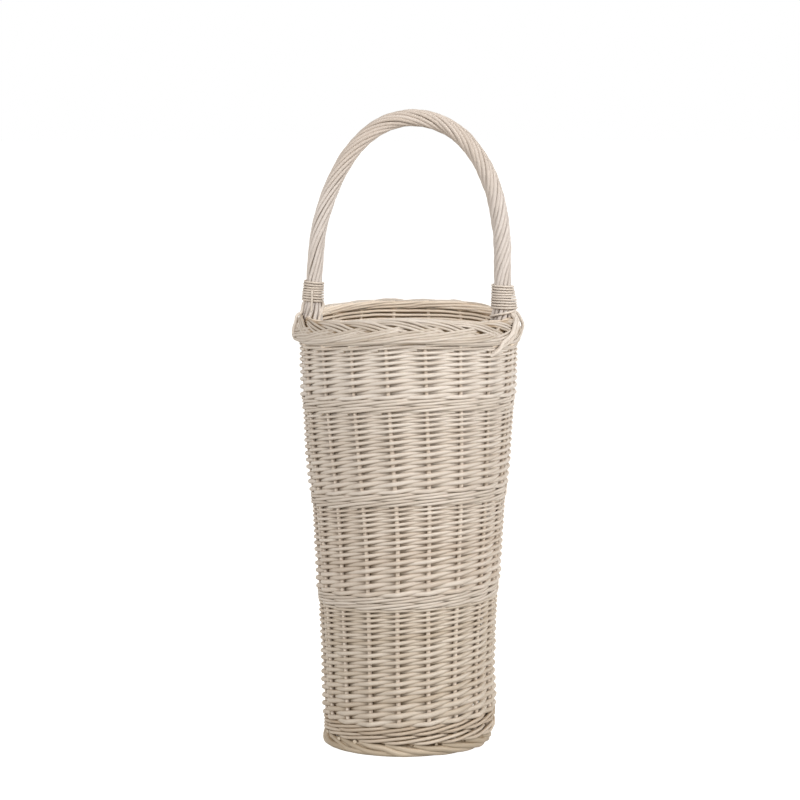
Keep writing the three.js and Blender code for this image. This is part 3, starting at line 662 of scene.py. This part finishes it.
def border_group(start, stops, steps, draw):
    """Three rods side by side along the stops; where they bunch, the middle one rides on the others."""
    uneven = [draw.uniform(-reach, reach, len(stops)) for reach in (0.05, 0.4, 0.45)]
    stretched = (stops + np.column_stack([*uneven, np.zeros(len(stops))])) * (stake_step_mm, 1, 1, 1)
    line = smooth_line(stretched[:, :3], steps)
    spacing = np.interp(line[:, 0], stretched[:, 0], stretched[:, 3])
    bunch = np.clip((2.6 - spacing) / 1.1, 0, 1)
    rods = []
    for beside in (-1, 0, 1):
        ride = bunch * (1.0 if beside == 0 else -0.5)
        along = (line[:, 1] + beside * spacing * spacing_share + draw.uniform(-0.25, 0.25)) / 1000
        places = line[:, 0] / stake_step_mm
        rise = 0.3 * np.sin(places * draw.uniform(1.6, 2.6) + draw.uniform(0, 6))
        heading = border_heading(start + places + beside * 0.03)
        from_leg = np.minimum(np.abs(np.sin(heading)) / 0.22, 1.6)
        at_right = np.exp((np.cos(heading) - 1) / 0.03)
        swell = swell_at_legs_mm * np.exp(-from_leg**2 * 1.5) * np.clip(line[:, 2] / 3, 0, 1)
        swell = swell * (1 - 0.5 * at_right)
        swell = swell - tuck_at_right_mm * at_right * (1 - smooth_step(-8, -2, line[:, 1])) * (line[:, 2] > 0)
        out = (line[:, 2] + ride + rise + swell) / 1000
        taper = 1.1 - border_taper * np.linspace(0, 1, steps)
        rods.append((in_border(heading, along, out), border_rod * taper * draw.uniform(0.88, 1.1), False))
    return rods


border_draw = np.random.RandomState(41)
border_rods = []
for stake in range(stake_count):
    border_rods += border_group(stake, outer_stops, 110, border_draw)
    border_rods += border_group(stake, inner_stops, 44, border_draw)
for row, height in enumerate(inner_rows):
    places = np.arange(0, stake_count, 0.1)
    depth = (-4.9 if row % 2 == 0 else -1.6) - 0.35 * np.cos(2 * math.pi * places)
    wave = height + 0.3 * np.sin(places * 1.7 + row)
    for half_turn in (0, stake_count / 2):
        stretch = (places >= half_turn) & (places <= half_turn + stake_count / 2 + 0.05)
        line = in_border(border_heading(places[stretch]), wave[stretch] / 1000, depth[stretch] / 1000)
        border_rods.append((line, inner_row_rod, False))
for stake in range(stake_count):
    along = np.linspace(-0.0145, 0.004, 12)
    line = in_border(border_heading(np.full(12, float(stake))), along, -0.0042)
    border_rods.append((line, stake_radius, False))
border = sweep_rods("plaited_border", border_rods, seed=42)
# Painted shade darkens rods lying midway in the plait's depth, and where rods touch, away from its edges.
border_places = vertex_places(border)
from_ring = np.hypot(border_places[:, 0], border_places[:, 1]) - border_radius
from_middle = border_places[:, 2] - border_middle
depth_in_border = from_ring * math.cos(plait_tilt) + from_middle * math.sin(plait_tilt) + 0.0003
up_border = np.abs(from_middle * math.cos(plait_tilt) - from_ring * math.sin(plait_tilt))
border_recess_shade = 1 - smooth_step(0.0010, 0.0034, np.abs(depth_in_border))
border_recess_shade = border_recess_shade * (1 - smooth_step(0.0075, 0.0115, up_border))
border_crease = crease_shade(border, 0.6) * (1 - smooth_step(0.0100, 0.0125, up_border))
mark_painted_shade(border, np.maximum(border_recess_shade, border_crease))
place_piece(border, border_willow, "borders", "border_strand_1", "border_strand_2", "border_strand_3")

# The inside of the rim gets a paler skin of its own: painted light on faces that the lamps barely reach.
border.data.materials.append(willow("rim inside with painted light", (0.89, 0.785, 0.67), (0.72, 0.61, 0.49)))
rim_inside_depth = -0.0014
inside_skin = 2
face_skins = np.zeros(len(border.data.polygons), np.int32)
first_corners = np.zeros(len(border.data.polygons), np.int32)
corner_vertices = np.zeros(len(border.data.loops), np.int32)
border.data.polygons.foreach_get("material_index", face_skins)
border.data.polygons.foreach_get("loop_start", first_corners)
border.data.loops.foreach_get("vertex_index", corner_vertices)
inside_rim = (depth_in_border[corner_vertices[first_corners]] < rim_inside_depth) & (face_skins == 0)
face_skins = np.where(inside_rim, inside_skin, face_skins).astype(np.int32)
border.data.polygons.foreach_set("material_index", face_skins)

# Handle bow: one thick rod bent to an arch, its ends pushed down inside the wall. Eleven thinner
# rods are roped round it from one leg to the other.
handle_willow = willow("handle willow", (0.652, 0.60, 0.565), (0.52, 0.46, 0.41), 0.05)
handle_height = 0.730
handle_half_span = 0.1076
arch_spring = 0.545
arch_fullness = 2.1
rope_rod = 0.0018
rope_slack = 0.0003
bow_radius = 0.0049
bow_foot_radius = 0.003
rope_ring = bow_radius + 0.0005 + rope_rod
rope_reach = rope_ring + rope_rod
rope_turns = 3.75
rope_count = 11
rope_low = 0.484
straighter_at_left = 0.03
straighter_at_right = 0.055
leg_foot = 0.408
bow_foot_inset = 0.0048
leg_inset_below_border = 0.0088
leg_foot_offset = float(wall_radius(leg_foot)) - stake_radius - bow_foot_inset
leg_at_border = 0.1082
left_leg_out = 0.0012
arch_lean = 0.0054
to_front = np.array([0.0, -1.0, 0.0])


def bow_line():
    """Middle line of the handle from the foot of the left leg to the foot of the right one."""
    rise = handle_height - rope_reach - rope_slack - arch_spring
    below_border = float(wall_radius(border_low)) - leg_inset_below_border
    knee = leg_foot_offset + (below_border - leg_foot_offset) * 0.9
    leg = [(leg_foot_offset, leg_foot), (knee, border_low - 0.014), (leg_at_border, border_top + 0.002)]
    stops = [(-x - left_leg_out, 0, z) for x, z in leg]
    for step in range(17):
        angle = math.pi * step / 16
        reach = abs(math.cos(angle))**(2 / arch_fullness)
        z = arch_spring + rise * abs(math.sin(angle))**(2 / arch_fullness)
        lean = arch_lean * float(smooth_step(0.535, 0.690, z))
        stops.append((math.copysign(handle_half_span * reach, -math.cos(angle)) + lean, 0, z))
    stops += [(x, 0, z) for x, z in reversed(leg)]
    return smooth_line(stops, 1601)


bow = bow_line()
bow_shares = np.linspace(0, 1, len(bow))
bow_tangents = np.gradient(bow, axis=0)
bow_tangents /= np.linalg.norm(bow_tangents, axis=1)[:, None]
bow_outwards = -np.cross(bow_tangents, to_front)


def on_bow(table, share):
    """Looks up a table that runs along the bow at shares of its length."""
    return np.column_stack([np.interp(share, bow_shares, table[:, k]) for k in range(3)])


def round_bow(share, radius, angle):
    """Points round the bow: angle 0 is outward from the arch, a quarter turn on is the front."""
    share = np.atleast_1d(np.asarray(share, float))
    radius = np.broadcast_to(radius, len(share))[:, None]
    angle = np.broadcast_to(angle, len(share))[:, None]
    return (on_bow(bow, share) + on_bow(bow_outwards, share) * radius * np.cos(angle)
            + to_front * radius * np.sin(angle))


def leg_share(z, side):
    """Share of the bow's length at which a leg passes a height; side is -1 left, +1 right."""
    half = len(bow) // 2
    left = np.interp(z, bow[:half, 2], bow_shares[:half])
    right = np.interp(z, bow[::-1][:half, 2], bow_shares[::-1][:half])
    return left if side < 0 else right


core_shares = np.linspace(0, 1, 240)
core_line = on_bow(bow, core_shares)
core_thin = bow_foot_radius + 0.0012 * smooth_step(leg_foot, border_low, core_line[:, 2])
core_radii = core_thin + (bow_radius - core_thin) * smooth_step(0.489, 0.503, core_line[:, 2])
core = sweep_rods("bow", [(core_line, core_radii, False)], sides=12, seed=51)
# Painted shade darkens the bow where it lies inside the roping.
mark_painted_shade(core, smooth_step(0.480, 0.495, vertex_places(core)[:, 2]))
place_piece(core, handle_willow, "handle", "handle_bow")

rope_draw = np.random.RandomState(52)
rope_start = float(leg_share(rope_low, -1))
rope_end = float(leg_share(rope_low, 1))
roped = []
for index in range(rope_count):
    share = np.linspace(0, 1, 300)
    wound = share - straighter_at_right * smooth_step(0.88, 1.0, share)
    wound = wound + straighter_at_left * (1 - smooth_step(0, 0.1, share))
    turning = rope_turns * (0.65 * wound + 0.35 * wound**2)
    slack = 0.05 * np.sin(share * rope_draw.uniform(12, 24) + rope_draw.uniform(0, 6))
    angle = 2 * math.pi * (index / rope_count + turning) + slack
    along = rope_start + (rope_end - rope_start) * share
    spread = rope_draw.uniform(0.0015, 0.0045) * (1 - smooth_step(0.490, 0.513, on_bow(bow, along)[:, 2]))
    spread = spread + 0.00035 * np.sin(share * rope_draw.uniform(14, 30) + rope_draw.uniform(0, 6))
    fuller = smooth_step(0.35, 0.65, share)
    radii = rope_rod * (1.12 + rope_draw.uniform(-0.1, 0.1)) * (1 + 0.13 * fuller)
    roped.append((round_bow(along, rope_ring + spread + 0.0006 * fuller, angle), radii, False))


def mark_round_bow(piece, inner, outer):
    """Marks painted shade on the points that lie nearer the middle line of the bow, between the rods
    wound round it, and paints a little shade all over the top of the arch, where most light falls."""
    places = vertex_places(piece)
    nearest = np.full(len(places), 1.0)
    for point in bow[::2]:
        nearest = np.minimum(nearest, np.linalg.norm(places - point, axis=1))
    arch_top_shade = 0.28 * smooth_step(0.60, 0.70, places[:, 2])
    between = (1 - 0.3 * smooth_step(0.56, 0.60, places[:, 2])) * (1 - smooth_step(inner, outer, nearest))
    mark_painted_shade(piece, np.maximum(between, arch_top_shade))


rope = sweep_rods("handle_roping", roped, sides=16, seed=53)
mark_round_bow(rope, rope_ring - 0.0006, rope_ring + 0.0007)
place_piece(rope, handle_willow, "handle", *[f"rope_rod_{i:02d}" for i in range(1, rope_count + 1)])

# Bindings: a fine rod wound round each leg just above the border, eight turns on the left and
# nine on the right, where they widen downwards.
binding_willow = willow("binding willow", (0.74, 0.675, 0.61), (0.54, 0.465, 0.39), 0.15)
binding_clearance = 0.00045
binding_thickness = 0.0024
binding_fullness = 0.52
loose_rod = 0.0013


def binding_rod(turns, rod, gap, top, flare, side):
    """The rod wound down a leg from a height, a little wider on its outer side."""
    steps = 26 * turns
    share = np.linspace(0, 1, steps + 1)
    z = top - rod / 2 - (rod + gap) * turns * share
    angle = 1.5 * math.pi - side * 2 * math.pi * turns * share
    radius = rope_reach + binding_clearance + rod / 2 + flare * share**2
    radius = radius + 0.0002 * np.sin(share * turns * 2.3 + side)
    looser, wider = (0.0011, 0.0042) if side > 0 else (0, 0.0024)
    radius = radius + looser + wider * np.minimum(share, 0.65) * np.maximum(np.cos(angle), 0)
    z = z + 0.00035 * np.sin(share * turns * 7.1) * np.sin(math.pi * share)
    return round_bow(leg_share(z, side), radius, angle), rod * binding_fullness, False


for node, turns, rod, gap, top, flare, side in (
        ("binding_left", 8, binding_thickness, 0.00055, 0.536, 0.0003, -1),
        ("binding_right", 9, binding_thickness, 0.00068, 0.5318, 0.0016, 1)):
    winding = [binding_rod(turns, rod, gap, top, flare, side)]
    if side < 0:
        # The end of the left one comes down over the front of its turns.
        over_z = np.linspace(0.5245, 0.5005, 30)
        over_radius = rope_reach + 0.0026 + 0.0012 * smooth_step(0.5245, 0.521, over_z)
        winding.append((round_bow(leg_share(over_z, -1), over_radius, 1.45), loose_rod, False))
    else:
        # The end of the right one makes a last loose turn that drops below the others.
        loose_share = np.linspace(0, 1, 40)
        loose_z = 0.5030 - 0.0095 * loose_share
        loose_radius = rope_reach + 0.0048 + 0.0012 * np.sin(math.pi * loose_share)
        loose_turn = round_bow(leg_share(loose_z, 1), loose_radius, -0.6 + 4.4 * loose_share)
        winding.append((loose_turn, loose_rod, False))
    binding = sweep_rods(f"{node}_winding", winding, seed=turns)
    mark_round_bow(binding, rope_reach + 0.0006, rope_reach + 0.0018)
    place_piece(binding, binding_willow, "bindings", node)

# Tails: the ends of the handle rods, led over or inside the border and tucked in below it. They
# lie close against the rods that they cross.
tail_radius = 0.0018
tail_offset = tail_radius + 0.00045
wrap_half_width = plait_swing + strand_width / 2 + tail_offset
wrap_bulge = 1.2
wrap_half_depth = (plait_lift + strand_thickness / 2) * wrap_bulge + tail_offset


def over_border(heading, edge, lift):
    """A point of a tail that lies over the edge of the border, or stands off it by lift."""
    return in_border(np.array([heading]), (wrap_half_width + lift) * math.cos(edge),
                     (wrap_half_depth + lift) * math.sin(edge))[0]


def beside_leg(side, z, angle):
    """A point of a tail that lies against the roping of a leg."""
    return round_bow(leg_share(z, side), rope_reach + tail_offset, angle)[0]


def on_settled_wall(heading, radius, z):
    """A point of a tail beside the wall."""
    return settle(np.array([[radius * math.cos(heading), radius * math.sin(heading), z]]))[0]


tail_gap = 0.0017
tail_tops = {side: top - binding_thickness - turns * pitch - tail_gap
             for side, top, turns, pitch in ((-1, 0.536, 8, 0.00295), (1, 0.5313, 9, 0.00308))}
under_binding = 0.0060
loop_fullness = 1.08
pair_fullness = 1.32


def tail_start(side, hidden_angle, angle):
    """The first points of a tail: one among the roping inside the binding, one just below it."""
    hidden = round_bow(leg_share(tail_tops[side] + under_binding, side), rope_ring, hidden_angle)[0]
    return [hidden, beside_leg(side, tail_tops[side], angle)]


# The loops are led down over the outside of the border; each stop has its heading, its angle round
# the edge of the border and how far it stands off.
left_loop_stops = ((3.17, 0.6, 0.0046), (3.18, 0.95, 0.0048), (3.18, 1.3, 0.0018), (3.18, 1.7, 0.0012),
                   (3.18, 2.2, 0.0006), (3.18, 2.65, -0.0004))
right_loop_stops = ((0.02, 0.73, 0.0042), (0.03, 1.15, 0.0028), (0.03, 1.6, 0.002), (0.03, 2.1, -0.0020),
                    (0.03, 2.5, -0.0040))
left_loop = tail_start(-1, 0.14, 0.14) + [over_border(*stop) for stop in left_loop_stops]
right_loop = tail_start(1, -0.14, -0.14) + [over_border(*stop) for stop in right_loop_stops]
pair_apart = 0.0023
pair_stops = ((-0.105, 0.82), (-0.34, 1.415), (-0.45, 1.89), (-0.55, 2.30), (-0.615, 2.60))
pair_wall_stops = ((-0.655, 0.1297, 0.4684), (-0.690, 0.1278, 0.4640), (-0.725, 0.1235, 0.4600))


def pair_line(aside):
    """One of the two rods laid side by side over the right front of the border."""
    line = tail_start(1, 0.5 - aside * 90, 0.5 - aside * 111)
    for i, (heading, edge) in enumerate(pair_stops):
        before = pair_stops[max(0, i - 1)]
        after = pair_stops[min(len(pair_stops) - 1, i + 1)]
        per_radian = math.hypot(wrap_half_width * math.sin(edge), wrap_half_depth * math.cos(edge))
        across = (after[0] - before[0]) * border_radius
        down = (after[1] - before[1]) * per_radian
        length = math.hypot(across, down)
        line.append(over_border(heading + aside * down / length / border_radius,
                                edge - aside * across / length / per_radian, 0))
    for heading, radius, z in pair_wall_stops:
        line.append(on_settled_wall(heading + aside / radius * 0.7, radius, z + aside * 0.7))
    return line


wall_inside = float(wall_radius(0.46515)) - stake_radius - 0.0034
inner_rest = wall_inside * math.cos(math.pi / 36) - 0.0003 - 0.0011
inner_tail = tail_start(-1, 3, 3) + [beside_leg(-1, border_top + 0.003, 2.6),
                                     beside_leg(-1, border_top - 0.012, 2.2)]
for inset, z in ((0.004, 0.47235), (0, 0.46015), (0, 0.45315)):
    inner_tail.append(on_settled_wall(0.09 - math.pi, inner_rest - inset, z))

tails = (("tail_left_loop", left_loop), ("tail_right_loop", right_loop),
         ("tail_right_over_1", pair_line(-pair_apart)), ("tail_right_over_2", pair_line(pair_apart)),
         ("tail_left_inner", inner_tail))
for index, (node, stops) in enumerate(tails):
    thick = pair_fullness if "over" in node else loop_fullness
    tail = sweep_rods(f"{node}_rod", [(smooth_line(stops, 60), tail_radius * thick, False)], seed=60 + index)
    place_piece(tail, binding_willow, "bindings", node)

# Floor and studio light: a plain white floor that fades into a white surround, two large soft
# lamps in front and one behind. The stand itself gets less light from the surround than is seen.
floor_seen = 0.93
surround_seen = 1.0
surround_light = 0.44


def plain_rays(nodes, links):
    """Picks out the rays that see a plain white surround: from the camera, mirrored or let through."""
    light_path = nodes.new("ShaderNodeLightPath")
    seen = light_path.outputs["Is Camera Ray"]
    for kind in ("Is Glossy Ray", "Is Transmission Ray"):
        either = nodes.new("ShaderNodeMath")
        either.operation = "MAXIMUM"
        links.new(seen, either.inputs[0])
        links.new(light_path.outputs[kind], either.inputs[1])
        seen = either.outputs[0]
    return seen


white_floor = bpy.data.materials.new("white floor")
white_floor.use_nodes = True
nodes, links = white_floor.node_tree.nodes, white_floor.node_tree.links
floor_shader = nodes["Principled BSDF"]
floor_shader.inputs["Base Color"].default_value = (0.5, 0.48, 0.45, 1)
floor_shader.inputs["Roughness"].default_value = 0.9
floor_shader.inputs["Specular IOR Level"].default_value = 0.1
floor_glow = nodes.new("ShaderNodeMath")
floor_glow.operation = "MULTIPLY"
floor_glow.inputs[1].default_value = floor_seen
links.new(plain_rays(nodes, links), floor_glow.inputs[0])
floor_shader.inputs["Emission Color"].default_value = (1, 1, 1, 1)
links.new(floor_glow.outputs[0], floor_shader.inputs["Emission Strength"])
bpy.ops.mesh.primitive_plane_add(size=60, location=(0, 0, 0))
floor = bpy.context.object
floor.name = "floor"
floor.data.materials.append(white_floor)

world = bpy.data.worlds.new("surround")
bpy.context.scene.world = world
world.use_nodes = True
nodes, links = world.node_tree.nodes, world.node_tree.links
background = nodes["Background"]
seen = plain_rays(nodes, links)
surround = nodes.new("ShaderNodeMapRange")
surround.inputs["To Min"].default_value = surround_light
surround.inputs["To Max"].default_value = surround_seen
links.new(seen, surround.inputs["Value"])
links.new(surround.outputs["Result"], background.inputs["Strength"])
surround_tint = nodes.new("ShaderNodeMix")
surround_tint.data_type = "RGBA"
surround_tint.inputs["A"].default_value = (1, 0.95, 0.89, 1)
surround_tint.inputs["B"].default_value = (1, 1, 1, 1)
links.new(seen, surround_tint.inputs["Factor"])
links.new(surround_tint.outputs["Result"], background.inputs["Color"])

for name, place, size, power in (("key", (-1.35, -1.8, 1.45), 1.3, 35), ("fill", (1.8, -1.3, 1.4), 1.3, 44),
                                 ("back", (0.6, 2.4, 2.4), 1.8, 34)):
    bpy.ops.object.light_add(type="AREA", location=place)
    lamp = bpy.context.object
    lamp.name = name
    lamp.data.size = size
    lamp.data.energy = power
    aim = -np.array(place) + np.array((0, 0, 0.35))
    lamp.rotation_euler = (math.atan2(math.hypot(aim[0], aim[1]), -aim[2]), 0,
                           math.atan2(aim[1], aim[0]) - math.pi / 2)

# Camera: a long lens three metres in front of the stand and a little above its rim.
camera_data = bpy.data.cameras.new("camera")
camera_data.sensor_width = 36
camera_data.lens = 129.9
camera = bpy.data.objects.new("camera", camera_data)
camera.location = (-0.0097, -3.3, 0.7695)
camera.rotation_euler = (math.radians(90 - 6.433), 0, 0)
bpy.context.scene.collection.objects.link(camera)
bpy.context.scene.camera = camera
bpy.context.scene.view_settings.view_transform = "Standard"
